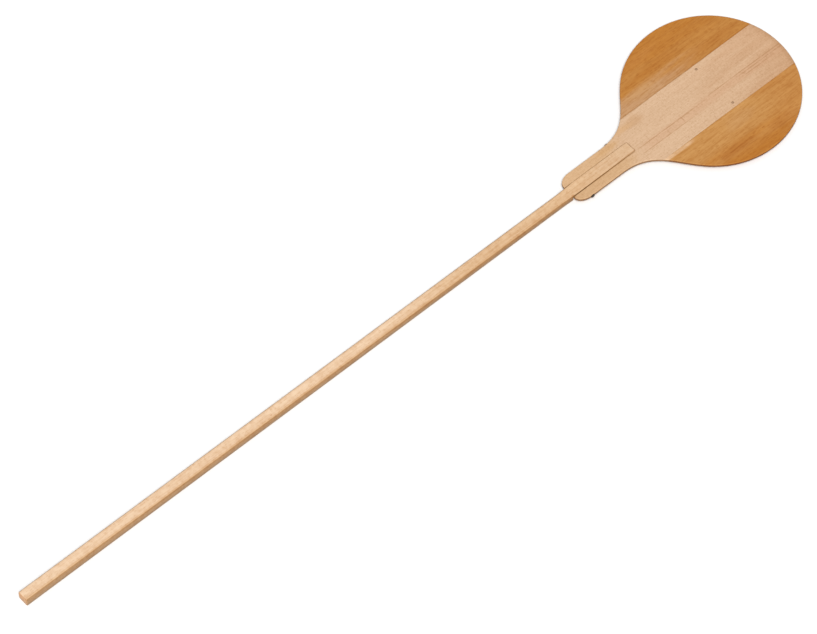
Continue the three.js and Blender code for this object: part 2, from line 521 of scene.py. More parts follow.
@dataclass(frozen=True)
class WoodFinish:
    """Bare sanded wood, with a grain that runs along X right through the piece.

    The growth rings are cylinders about a pith line that lies off the board, so that faces, edges and end
    grain all show the same tree.
    """

    name: str
    base: Shown
    late: Colour
    seed: float
    pith: Span
    tones: tuple[Tone, ...] = ()
    patches: tuple[Patch, ...] = ()
    # painted shade on the faces, by the way they face
    weathering: tuple[Weathering, ...] = ()
    stain_or_shade_spots: tuple[Stain, ...] = ()
    lines: tuple[GrainOrShadeLine, ...] = ()
    # painted shade along the blade's rim
    rim: Rim | None = None
    slope: float = 0.01
    ring_width: float = 0.007
    ring_wander: float = 0.004
    ring_strength: float = 0.08
    band_strength: float = 0.1
    streak_strength: float = 0.25
    streak_length: float = 0.05
    streak_width: float = 0.003
    fibre_strength: float = 0.15
    fleck_strength: float = 0.6
    fleck_length: float = 0.005
    fleck_width: float = 0.0012
    mottle_strength: float = 0.24
    mottle_size: float = 0.005
    roughness: Span = (0.52, 0.68)
    specular: float = 0.2
    relief: float = 0.00012

    def stretched(self, graph: Graph, length: float, width: float, layer: float) -> Socket:
        """The place, stretched along the grain for a layer of marks of that length and width."""
        return graph.scaled((1 / length, 1 / width, 1 / width), (self.seed, layer, layer * 2))

    def rings(self, graph: Graph) -> Feed:
        """Draws the growth rings.

        Args:
            graph: the material.

        Returns:
            A mask that rises through each ring and falls sharply at its late wood.
        """
        wander = graph.noise(graph.scaled(RING_SWAY, (self.seed, 3, 7)), detail=3)
        sway = graph.swing(wander, self.ring_wander * RING_SWING)
        along, across, up = graph.split(graph.place)
        side = graph.math("ADD", graph.math("SUBTRACT", across, self.pith[0]), sway)
        rise = graph.math("ADD", graph.math("SUBTRACT", up, self.pith[1]), graph.times(along, self.slope))
        squares = graph.math("ADD", graph.times(side, side), graph.times(rise, rise))
        count = graph.math("DIVIDE", graph.math("SQRT", squares), self.ring_width)
        share = graph.math("FRACT", graph.math("ADD", count, self.seed))
        return graph.times(graph.ramp(share, *RING_RISE), graph.ramp(share, *RING_FALL))

    def flecks(self, graph: Graph) -> Feed:
        """Draws the short dark dashes of the wood's rays.

        Args:
            graph: the material.

        Returns:
            A mask of the dashes.
        """
        feeds = {"Vector": self.stretched(graph, self.fleck_length, self.fleck_width, 0), "Scale": 1.0}
        cells = graph.add("ShaderNodeTexVoronoi", feeds, feature="F1", distance="EUCLIDEAN").outputs
        chosen = graph.ramp(graph.split(cells["Color"])[0], *FLECK_CHOICE)
        return graph.times(graph.ramp(cells["Distance"], *FLECK_EDGE), chosen)

    def tinted(self, graph: Graph) -> Feed:
        """Lays the tones and the patches over the base colour.

        Args:
            graph: the material.

        Returns:
            The wood's colour before its grain.
        """
        ragged = graph.noise(graph.scaled(TONE_EDGE, (self.seed, 1, 2)), detail=3)
        axes = graph.split(graph.place)
        colour: Feed = linear(self.base)
        for tone in self.tones:
            mask: Feed = tone.strength
            for fade in tone.fades:
                shift = graph.swing(ragged, abs(fade.end - fade.start) * RAGGED_SWING)
                value = graph.math("ADD", axes[fade.axis.value], shift)
                mask = graph.times(graph.ramp(value, fade.start, fade.end), mask)
            colour = graph.mix(mask, colour, linear(tone.colour))
        cloud = graph.noise(graph.scaled(PATCH_EDGE, (self.seed, 6, 3)), detail=3, rough=0.6)
        spread = graph.times(cloud, RAGGED_SWING)
        for patch in self.patches:
            (along, across), (length, width) = patch.centre, patch.reach
            spot = graph.scaled((1 / length, 1 / width, 0), (-along / length, -across / width, 0))
            away = graph.add("ShaderNodeVectorMath", {0: spot}, operation="LENGTH").outputs["Value"]
            mask = graph.ramp(graph.math("ADD", away, spread), *PATCH_RISE, 0, patch.strength)
            colour = graph.mix(mask, colour, linear(patch.colour))
        return colour

    def shaded_by_facing(self, graph: Graph, colour: Feed) -> Feed:
        """Paints shade onto the faces by the way they face: edge walls, sides and ends.

        Args:
            graph: the material.
            colour: the wood's colour.

        Returns:
            The tinted colour.
        """
        axes = graph.split(graph.facing)
        # painted shade: darkens each face by the way it faces
        for face_shade in self.weathering:
            mask = graph.ramp(graph.math("ABSOLUTE", axes[face_shade.axis.value]), face_shade.start, face_shade.end)
            colour = graph.mix(mask, colour, face_shade.tint, "MULTIPLY")
        return colour

    def marks(self, graph: Graph, sway: Socket) -> list[Feed]:
        """Draws single grain and joint lines, painted shade in the gaps by the fork's slot, the iron staining
        about fasteners, painted shade spots at the fork's mouth and the painted shade along the blade's rim.

        Args:
            graph: the material.
            sway: noise that makes the lines wander.

        Returns:
            One mask for each mark.
        """
        masks: list[Feed] = []
        along, across, _ = graph.split(graph.place)
        shift = graph.swing(sway, self.ring_wander * LINE_SWING)
        gaps = graph.noise(self.stretched(graph, BREAK_LENGTH, BREAK_WIDTH, 11))
        broken = graph.ramp(gaps, *BREAK_RISE, *BREAK_SHADE)
        for line in self.lines:
            offset = graph.math("ADD", graph.math("SUBTRACT", across, line.across), shift)
            away = graph.math("ABSOLUTE", offset)
            stroke = graph.ramp(away, line.width, line.width * LINE_CORE, 0, line.strength)
            near = graph.ramp(along, line.start, line.start + LINE_START)
            far = graph.ramp(along, line.end, line.end - line.run_out)
            masks.append(graph.times(stroke, broken, graph.times(near, far)))
        for stain_or_shade_spot in self.stain_or_shade_spots:
            away = graph.distance(stain_or_shade_spot.centre)
            masks.append(graph.ramp(away, stain_or_shade_spot.radius, stain_or_shade_spot.radius * STAIN_CORE, 0, stain_or_shade_spot.strength))
        # painted shade along the rounded rim of the blade's front half
        if self.rim:
            middle = self.rim.centre.x
            ahead = graph.ramp(along, middle, middle + self.rim.start, 0, self.rim.strength)
            band = graph.ramp(graph.distance(self.rim.centre), self.rim.start, self.rim.end)
            masks.append(graph.times(band, ahead))
        return masks

    def material(self) -> bpy.types.Material:
        """Makes the finish as a node material.

        Returns:
            The material.
        """
        graph = Graph(self.name)
        rings = self.rings(graph)
        flecks = self.flecks(graph)
        bands = graph.noise(graph.scaled(BANDS, (self.seed, 5, 1)))
        streaky = self.stretched(graph, self.streak_length, self.streak_width, 2)
        streaks = graph.noise(streaky, detail=4, rough=0.6)
        fibres = graph.noise(graph.scaled(FIBRES, (self.seed, 8, 3)))
        cloudy = self.stretched(graph, self.mottle_size, self.mottle_size, 9)
        mottle = graph.noise(cloudy, detail=3, rough=0.6)
        shade = graph.math(
            "ADD",
            graph.times(rings, self.ring_strength),
            graph.ramp(bands, *BAND_RISE, 0, self.band_strength),
            graph.ramp(streaks, *STREAK_RISE, 0, self.streak_strength),
            graph.ramp(fibres, *FIBRE_RISE, 0, self.fibre_strength),
            graph.times(flecks, self.fleck_strength),
            graph.ramp(mottle, *MOTTLE_RISE, 0, self.mottle_strength),
            *self.marks(graph, bands),
        )
        base = self.tinted(graph)
        dark = graph.mix(1.0, base, self.late, "MULTIPLY")
        colour = graph.mix(graph.math("MINIMUM", shade, 1.0), base, dark)
        graph.feed(graph.shader, {
            "Base Color": self.shaded_by_facing(graph, colour),
            "Roughness": graph.ramp(streaks, *SHEEN_RISE, *self.roughness),
            "Specular IOR Level": self.specular,
        })
        height = graph.math("SUBTRACT", graph.times(fibres, FIBRE_RELIEF), graph.times(flecks, FLECK_RELIEF),
                            graph.times(rings, RING_RELIEF))
        graph.bump(height, self.relief)
        return graph.material


@dataclass(frozen=True)
class SteelFinish:
    """Dull dark steel with worn bright spots and rust in its low places."""

    name: str
    dark: Shown
    worn: Shown
    rust: Shown
    blotches: float = 900.0
    scuffs: float = 3600.0
    wear: Span = (0.42, 0.7)
    rusting: Span = (0.55, 0.8)
    rust_strength: float = 0.8
    metallic: float = 0.75
    sheen: Span = (0.3, 0.7)
    roughness: Span = (0.35, 0.65)
    relief: float = 0.00008

    def material(self) -> bpy.types.Material:
        """Makes the finish as a node material.

        Returns:
            The material.
        """
        graph = Graph(self.name)
        blotches = graph.noise(graph.scaled([self.blotches] * 3), detail=4, rough=0.65)
        scuffs = graph.noise(graph.scaled([self.scuffs] * 3, (3, 1, 4)), detail=3)
        colour = graph.mix(graph.ramp(blotches, *self.wear), linear(self.dark), linear(self.worn))
        rusted = graph.ramp(scuffs, *self.rusting, 0, self.rust_strength)
        graph.feed(graph.shader, {
            "Base Color": graph.mix(rusted, colour, linear(self.rust)),
            "Metallic": self.metallic,
            "Roughness": graph.ramp(scuffs, *self.sheen, *self.roughness),
        })
        graph.bump(blotches, self.relief)
        return graph.material


# Sub-assemblies


@dataclass
class Blade:
    """The round jointed blade: a centre board that runs on into the forked neck, and two wings."""

    neck_width: float = 0.068
    corner_length: float = 0.028
    corner_width: float = 0.018
    flare_angle: float = math.radians(134)
    flare_reach: float = 0.254
    flare_blade_pull: float = 0.060
    flare_neck_pull: float = 0.076
    edge_round: float = 0.002
    tip_thickness: float = 0.005
    taper_setback: float = 0.005
    glue_gap: float = 0.0003
    glue_line: float = 0.0001
    slot_seat_gap: float = 0.0001
    slot_end_gap: float = 0.0005
    slot_mouth_gap: float = 0.0018
    tongue_thickness: float = 0.002
    tongue_length: float = 0.014
    tongue_cheek: float = 0.0016
    joint_ease: float = 0.0002
    slot_ease: float = 0.0006
    rim_steps: int = 144
    flare_steps: int = 36
    corner_steps: int = 14
    edge_steps: int = 5
    ease_steps: int = 2

    def __post_init__(self) -> None:
        """Takes the main sizes from the frame."""
        low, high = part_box("centre_board")
        handle_low, handle_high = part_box("handle")
        self.radius = (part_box("left_wing")[1].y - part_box("right_wing")[0].y) / 2
        self.middle = Vector((high.x - self.radius, 0, low.z))
        self.fork_end = low.x
        self.underside = low.z
        self.top = high.z
        self.joints = {Side.LEFT: high.y, Side.RIGHT: low.y}
        self.line = (handle_low.y + handle_high.y) / 2
        self.slot_end = handle_high.x + self.glue_gap
        self.slot_left = handle_high.y + self.slot_seat_gap
        self.slot_right = handle_low.y - self.slot_end_gap
        self.slot_slope = (self.slot_mouth_gap - self.slot_end_gap) / (self.slot_end - self.fork_end)
        self.taper_start = self.slot_end + self.taper_setback
        drop = self.top - self.underside - self.tip_thickness
        self.taper_slope = drop / (high.x - self.taper_start)

    def flank(self, side: Side) -> list[Vector]:
        """Draws one side of the neck, from the round to the fork's end.

        Args:
            side: which side.

        Returns:
            Its points, in order.
        """
        angle = side.value * self.flare_angle
        outward = Vector((math.cos(angle), math.sin(angle), 0))
        onward = Vector((-outward.y, outward.x, 0)) * side.value
        meet = self.middle + outward * self.radius
        edge = self.line + side.value * self.neck_width / 2
        neck = Vector((self.middle.x - self.flare_reach, edge, self.underside))
        corner = Vector((self.fork_end, edge, self.underside))
        start = corner + Vector((self.corner_length, 0, 0))
        end = corner - Vector((0, side.value * self.corner_width, 0))
        flare = interpolate_bezier(meet, meet + onward * self.flare_blade_pull,
                                   neck + Vector((self.flare_neck_pull, 0, 0)), neck, self.flare_steps + 1)
        rounded = interpolate_bezier(start, start.lerp(corner, ROUND_PULL), end.lerp(corner, ROUND_PULL), end,
                                     self.corner_steps + 1)
        return [*flare, *rounded]

    def outline(self, mesh: Mesh) -> bmesh.types.BMFace:
        """Draws the blade's outline, from the right flare round the tip and down the left side to the fork.

        Args:
            mesh: an empty mesh.

        Returns:
            The outline's face.
        """
        left = self.flank(Side.LEFT)
        right = self.flank(Side.RIGHT)
        start = mesh.verts.new(right[0])
        meet = turned_on(mesh, start, self.middle, 2 * self.flare_angle, self.rim_steps)
        last = run(mesh, meet, [*left[1:], *reversed(right[1:])])
        mesh.edges.new((last, start))
        return bmesh.ops.edgeloop_fill(mesh, edges=mesh.edges[:])["faces"][0]

    def blank(self) -> Mesh:
        """Makes the whole blade in one, with its planed top and its eased edges.

        Returns:
            The blank's mesh.
        """
        mesh = bmesh.new()
        face = self.outline(mesh)
        grown = bmesh.ops.extrude_face_region(mesh, geom=[face])["geom"]
        raised = [item for item in grown if isinstance(item, Vert)]
        bmesh.ops.translate(mesh, verts=raised, vec=(0, 0, self.top - self.underside))
        face_out(mesh)
        split(mesh, (self.taper_start, 0, 0), (1, 0, 0), drop=False)
        for vert in mesh.verts:
            if vert.co.z > self.underside + TOUCH and vert.co.x > self.taper_start:
                vert.co.z -= self.taper_slope * (vert.co.x - self.taper_start)
        mesh.normal_update()
        rim = [edge for edge in mesh.edges if edge.calc_face_angle() > RIM_ANGLE
               and any(abs(face.normal.z) > LEVEL_NORMAL for face in edge.link_faces)]
        ease(mesh, rim, self.edge_round, self.edge_steps)
        return mesh

    def ease_joint(self, mesh: Mesh, across: float) -> None:
        """Takes the sharpness off the long edges of a joint.

        Args:
            mesh: the mesh, which is changed.
            across: where the joint's face lies across the board.
        """
        edges = []
        for edge in mesh.edges:
            near, far = (vert.co for vert in edge.verts)
            along = abs(near.z - far.z) < abs(near.x - far.x) * LEVEL_SLOPE
            sawn = all(abs(point.y - across) < TOUCH for point in (near, far))
            if along and sawn and edge.is_convex and edge.calc_face_angle() > JOINT_ANGLE:
                edges.append(edge)
        ease(mesh, edges, self.joint_ease, self.ease_steps)

    def in_slot(self, point: Vector) -> bool:
        """Whether a point lies in the fork's slot or on its walls."""
        right = self.slot_right + self.slot_slope * (point.x - self.slot_end)
        return right - TOUCH < point.y < self.slot_left + TOUCH and point.x < self.slot_end + TOUCH

    def cut_slot(self, mesh: Mesh) -> None:
        """Saws the fork's slot, which opens a little towards its mouth, and eases its edges.

        Args:
            mesh: the centre board, which is changed.
        """
        slot = block((self.fork_end - CLEARANCE, self.slot_right, self.underside - CLEARANCE),
                     (self.slot_end, self.slot_left, self.top + CLEARANCE))
        for vert in slot.verts:
            if vert.co.y < self.line:
                vert.co.y += self.slot_slope * (vert.co.x - self.slot_end)
        cut_away(mesh, slot)
        level = [edge for edge in mesh.edges if abs(edge.verts[0].co.z - edge.verts[1].co.z) < TOUCH]
        edges = [edge for edge in level if all(self.in_slot(vert.co) for vert in edge.verts)]
        ease(mesh, edges, self.slot_ease, self.ease_steps)

    def long_tool(self, first: float, second: float, low: float, high: float) -> Mesh:
        """Makes a cutting tool along the whole blade, from its two sides, its underside and its top."""
        near, far = sorted((first, second))
        tip = self.middle.x + self.radius
        return block((self.fork_end - CLEARANCE, near, low), (tip + CLEARANCE, far, high))

    def wing(self, side: Side) -> Mesh:
        """Makes a wing, rebated above and below so that a tongue is left.

        Args:
            side: the wing's side.

        Returns:
            The wing's mesh.
        """
        mesh = self.blank()
        edge = self.joints[side] + side.value * self.glue_line
        inner = self.joints[side] - side.value * self.tongue_length
        low = self.underside + self.tongue_cheek
        split(mesh, (0, inner, 0), (0, -side.value, 0), drop=True)
        inside = inner - side.value * CLEARANCE
        cut_away(mesh, self.long_tool(inside, edge, low + self.tongue_thickness, self.top + CLEARANCE))
        cut_away(mesh, self.long_tool(inside, edge, self.underside - CLEARANCE, low))
        self.ease_joint(mesh, edge)
        return mesh

    def centre_board(self, holes: Sequence[Mesh]) -> Mesh:
        """Makes the centre board with its slot, its grooves and its fasteners' holes.

        Args:
            holes: the tools that cut the holes.

        Returns:
            The board's mesh.
        """
        mesh = self.blank()
        for side in Side:
            edge = self.joints[side]
            split(mesh, (0, edge, 0), (0, side.value, 0), drop=True)
            self.ease_joint(mesh, edge)
        self.cut_slot(mesh)
        low = self.underside + self.tongue_cheek - self.glue_gap
        high = self.underside + self.tongue_cheek + self.tongue_thickness + self.glue_gap
        for side in Side:
            inner = self.joints[side] - side.value * (self.tongue_length + self.glue_gap)
            cut_away(mesh, self.long_tool(inner, self.joints[side] + side.value * CLEARANCE, low, high))
        for hole in holes:
            cut_away(mesh, hole)
        return mesh


@dataclass
class Handle:
    """The long batten: rounded along its edges, and square where it fills the neck's slot."""

    edge_round: float = 0.0045
    tenon_round: float = 0.0006
    end_ease: float = 0.001
    run_out: float = 0.042
    past_mouth: float = 0.020
    round_steps: int = 8
    ease_steps: int = 3

    def __post_init__(self) -> None:
        """Takes the main sizes from the frame."""
        self.low, self.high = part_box("handle")
        board_low, board_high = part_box("centre_board")
        self.mouth = board_low.x
        self.shoulder = board_low.z
        self.fork_top = board_high.z

    def thickness(self, along: float) -> float:
        """How thick the bar is: it thins evenly from the grip's end to the fork's mouth."""
        share = min(1.0, (along - self.low.x) / (self.mouth - self.low.x))
        return self.high.z + (self.fork_top - self.high.z) * share - self.low.z

    def section(self, mesh: Mesh, along: float, inset: float, radius: float) -> list[Edge]:
        """Draws one rounded section of the bar.

        Args:
            mesh: the mesh that gets the section.
            along: where it lies on the bar.
            inset: how far it lies inside the bar's full section.
            radius: its corners' radius.

        Returns:
            The section's edges.
        """
        width = self.high.y - self.low.y
        height = self.thickness(along)
        middle = Vector((along, (self.high.y + self.low.y) / 2, self.low.z + height / 2))
        size = Matrix.Diagonal((height - 2 * inset, width - 2 * inset, 1, 1))
        upright = Matrix.Rotation(QUARTER_TURN, 4, "Y") @ size
        made = bmesh.ops.create_grid(mesh, x_segments=1, y_segments=1, size=UNIT_REACH,
                                     matrix=Matrix.Translation(middle) @ upright)
        rounded = bmesh.ops.bevel(mesh, geom=made["verts"], offset=radius, offset_type="OFFSET",
                                  segments=self.round_steps, profile=ROUND_PROFILE, affect="VERTICES",
                                  material=-1)
        face = next(f for vert in rounded["verts"] for f in vert.link_faces)
        edges = face.edges[:]
        bmesh.ops.delete(mesh, geom=[face], context="FACES_ONLY")
        return edges

    def bar(self, holes: Sequence[Mesh]) -> Mesh:
        """Lofts the bar through its sections and cuts its rebate and its screw holes.

        Args:
            holes: the tools that cut the holes.

        Returns:
            The handle's mesh.
        """
        mesh = bmesh.new()
        turns = [QUARTER_TURN * step / self.ease_steps for step in range(self.ease_steps + 1)]
        stations = [(self.low.x + self.end_ease * (1 - math.sin(turn)), self.end_ease * (1 - math.cos(turn)),
                     self.edge_round - self.end_ease * (1 - math.cos(turn))) for turn in reversed(turns)]
        square = self.mouth + self.past_mouth
        stations += [(square - self.run_out, 0.0, self.edge_round), (square, 0.0, self.tenon_round),
                     (self.high.x, 0.0, self.tenon_round)]
        sections = [self.section(mesh, *station) for station in stations]
        for near, far in zip(sections, sections[1:]):
            bmesh.ops.bridge_loops(mesh, edges=near + far)
        for cap in (sections[0], sections[-1]):
            bmesh.ops.edgeloop_fill(mesh, edges=cap)
        face_out(mesh)
        rebate = block((self.mouth, self.low.y - CLEARANCE, self.low.z - CLEARANCE),
                       (self.high.x + CLEARANCE, self.high.y + CLEARANCE, self.shoulder))
        for tool in (rebate, *holes):
            cut_away(mesh, tool)
        return mesh


@dataclass
class Fastener:
    """A turned steel fastener: a head, a shank, a point, and the hole that takes them."""

    side: Side
    head_height: float
    head_diameter: float
    shank_diameter: float
    point: float
    seat_depth: float
    hole_gap: float
    facets: int

    def stand(self, name: str, outward: Vector) -> None:
        """Takes the fastener's place from the frame.

        Args:
            name: the kind of fastener, as it stands in the solid's name.
            outward: the direction out of the wood, which is along an axis.
        """
        self.node = f"{self.side.word}_{name}"
        low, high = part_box(self.node)
        self.outward = outward
        self.extent = abs((high - low).dot(outward))
        self.crown = (low + high) / 2 + outward * (self.extent / 2)

    def hole(self) -> Mesh:
        """Makes the tool that cuts the fastener's hole and its head's seat.

        Returns:
            The tool's mesh.
        """
        seat = self.head_diameter / 2 + self.hole_gap
        bore = self.shank_diameter / 2 + self.hole_gap
        end = -self.length - self.hole_gap
        profile = [(0, CLEARANCE), (seat, CLEARANCE), (seat, -self.seat_depth), (bore, -self.seat_depth),
                   (bore, end), (0, end)]
        return lathe(profile, self.place, self.outward, self.facets)


@dataclass
class CrossScrew(Fastener):
    """A round-headed slotted screw, driven from one edge of the neck through the prong into the handle."""

    head_height: float = 0.0024
    head_diameter: float = 0.006
    shank_diameter: float = 0.003
    point: float = 0.005
    seat_depth: float = 0.0001
    hole_gap: float = 0.0003
    facets: int = 48
    core_diameter: float = 0.0021
    pitch: float = 0.0013
    thread_share: float = 0.62
    thread_root: float = 0.9
    ridge_share: float = 0.3
    rim_share: float = 0.22
    drive_width: float = 0.0009
    drive_depth: float = 0.001
    thread_steps: int = 18
    dome_steps: int = 10

    def __post_init__(self) -> None:
        """Sets height 0 at the head's seat."""
        self.stand("cross_screw", Vector((0, self.side.value, 0)))
        self.place = self.crown - self.outward * self.head_height
        self.length = self.extent - self.head_height

    def thread(self, start: float, end: float) -> Mesh:
        """Winds the thread's ridge round the core.

        Args:
            start: the depth below the head where the thread starts.
            end: the depth where it ends.

        Returns:
            The ridge's mesh.
        """
        mesh = bmesh.new()
        core = self.core_diameter / 2 * self.thread_root
        ridge = [(core, -self.ridge_share), (self.shank_diameter / 2, 0), (core, self.ridge_share)]
        across = self.outward.orthogonal()
        corners = [mesh.verts.new(self.place - self.outward * (start - height * self.pitch) + across * radius)
                   for radius, height in ridge]
        face = mesh.faces.new(corners)
        turns = (end - start) / self.pitch
        steps = round(turns * self.thread_steps)
        bmesh.ops.spin(mesh, geom=[face], cent=self.place, axis=self.outward, angle=math.tau * turns,
                       dvec=self.outward * (start - end) / steps, steps=steps)
        face_out(mesh)
        return mesh

    def build(self) -> Mesh:
        """Turns the screw, cuts its drive slot and winds its thread.

        Returns:
            The screw's mesh.
        """
        rim = self.head_height * self.rim_share
        dome = self.head_height - rim
        head = self.head_diameter / 2
        turns = [QUARTER_TURN * step / self.dome_steps for step in range(self.dome_steps + 1)]
        shank = self.shank_diameter / 2
        core = self.core_diameter / 2
        smooth_end = -self.length * (1 - self.thread_share)
        profile = [(head * math.sin(turn), rim + dome * math.cos(turn)) for turn in turns]
        profile += [(head, 0), (shank, 0), (shank, smooth_end), (core, smooth_end - (shank - core)),
                    (core, self.point - self.length), (0, -self.length)]
        mesh = lathe(profile, self.place, self.outward, self.facets)
        floor = self.crown - self.outward * self.drive_depth
        low, high = sorted((floor, floor + self.outward * CLEARANCE), key=lambda point: point.y)
        reach = Vector((self.head_diameter, 0, self.drive_width / 2))
        cut_away(mesh, block(low - reach, high + reach))
        ridge = self.thread(-smooth_end + self.pitch, self.length - self.point)
        joined = bpy.data.meshes.new("thread")
        ridge.to_mesh(joined)
        ridge.free()
        mesh.from_mesh(joined)
        bpy.data.meshes.remove(joined)
        return mesh


@dataclass
class LockPin(Fastener):
    """A small steel pin, driven flush into the centre board, that locks a wing's tongue."""

    head_height: float = 0.0009
    head_diameter: float = 0.0036
    shank_diameter: float = 0.0022
    point: float = 0.0012
    seat_depth: float = 0.0011
    hole_gap: float = 0.0002
    facets: int = 36
    crown_drop: float = 0.0002
    crown_power: int = 3
    crown_steps: int = 5

    def __post_init__(self) -> None:
        """Sets height 0 at the top of the head."""
        self.stand("lock_pin", Vector((0, 0, 1)))
        self.place = self.crown
        self.length = self.extent

    def build(self) -> Mesh:
        """Turns the pin, with a head that is crowned by the hammer.

        Returns:
            The pin's mesh.
        """
        head = self.head_diameter / 2
        shank = self.shank_diameter / 2
        shares = [step / self.crown_steps for step in range(self.crown_steps + 1)]
        profile = [(head * share, -self.crown_drop * share ** self.crown_power) for share in shares]
        profile += [(head, -self.head_height), (shank, -self.head_height - head + shank),
                    (shank, self.point - self.length), (0, -self.length)]
        return lathe(profile, self.place, self.outward, self.facets)


@dataclass
class Studio:
    """A plain pale floor, soft light, and the camera at the photograph's angle."""

    floor_reach: float = 40.0
    floor_colour: Colour = (0.88, 0.88, 0.88)
    floor_lift: float = 1.015
    floor_clouds: float = 1.5
    floor_roughness: float = 0.9
    floor_specular: float = 0.1
    sky_light: float = 0.45
    key_power: float = 2.855
    key_softness: float = math.radians(24)
    key_azimuth: float = math.radians(229)
    key_elevation: float = math.radians(60)
    aim: Sequence[float] = (-0.01388, -0.00487, 0.0155)
    view_azimuth: float = math.radians(48.739)
    view_elevation: float = math.radians(57.883)
    view_distance: float = 10.9009
    lens: float = 256.738
    sensor_width: float = 36.0

    def floor(self) -> None:
        """Lays the floor."""
        mesh = bmesh.new()
        bmesh.ops.create_grid(mesh, x_segments=1, y_segments=1, size=self.floor_reach)
        made = as_object(mesh, "floor")
        mesh.free()
        graph = Graph("pale_floor")
        clouds = graph.noise(graph.scaled([self.floor_clouds] * 3), detail=3)
        paler = tuple(channel * self.floor_lift for channel in self.floor_colour)
        graph.feed(graph.shader, {
            "Base Color": graph.mix(clouds, self.floor_colour, paler),
            "Roughness": self.floor_roughness,
            "Specular IOR Level": self.floor_specular,
        })
        made.data.materials.append(graph.material)

    def direction(self, azimuth: float, elevation: float) -> Vector:
        """The direction of a place in the sky, seen from the peel."""
        flat = math.cos(elevation)
        return Vector((math.cos(azimuth) * flat, math.sin(azimuth) * flat, math.sin(elevation)))

    def set_up(self, data: bpy.types.ID, place: Vector, back: Vector) -> bpy.types.Object:
        """Puts a lamp or a camera into the scene.

        Args:
            data: the lamp or the camera.
            place: where it stands.
            back: the direction from what it looks at.

        Returns:
            Its object.
        """
        made = bpy.data.objects.new(data.name, data)
        made.location = place
        made.rotation_mode = "QUATERNION"
        made.rotation_quaternion = back.to_track_quat("Z", "Y")
        bpy.context.scene.collection.objects.link(made)
        return made

    def light(self) -> None:
        """Sets up the soft sky and one soft key light, which falls evenly on the whole floor."""
        scene = bpy.context.scene
        scene.view_settings.view_transform = "Standard"
        scene.world = bpy.data.worlds.new("soft_sky")
        scene.world.use_nodes = True
        sky = scene.world.node_tree.nodes["Background"].inputs
        sky["Color"].default_value = (1, 1, 1, 1)
        sky["Strength"].default_value = self.sky_light
        lamp = bpy.data.lights.new("key_light", "SUN")
        lamp.angle = self.key_softness
        lamp.energy = self.key_power
        towards = self.direction(self.key_azimuth, self.key_elevation)
        self.set_up(lamp, towards, towards)

    def camera(self) -> None:
        """Sets up the camera."""
        data = bpy.data.cameras.new("camera")
        data.sensor_width = self.sensor_width
        data.lens = self.lens
        back = self.direction(self.view_azimuth + math.pi, self.view_elevation)
        bpy.context.scene.camera = self.set_up(data, Vector(self.aim) + back * self.view_distance, back)

    def build(self) -> None:
        """Sets up the whole studio."""
        self.floor()
        self.light()
        self.camera()


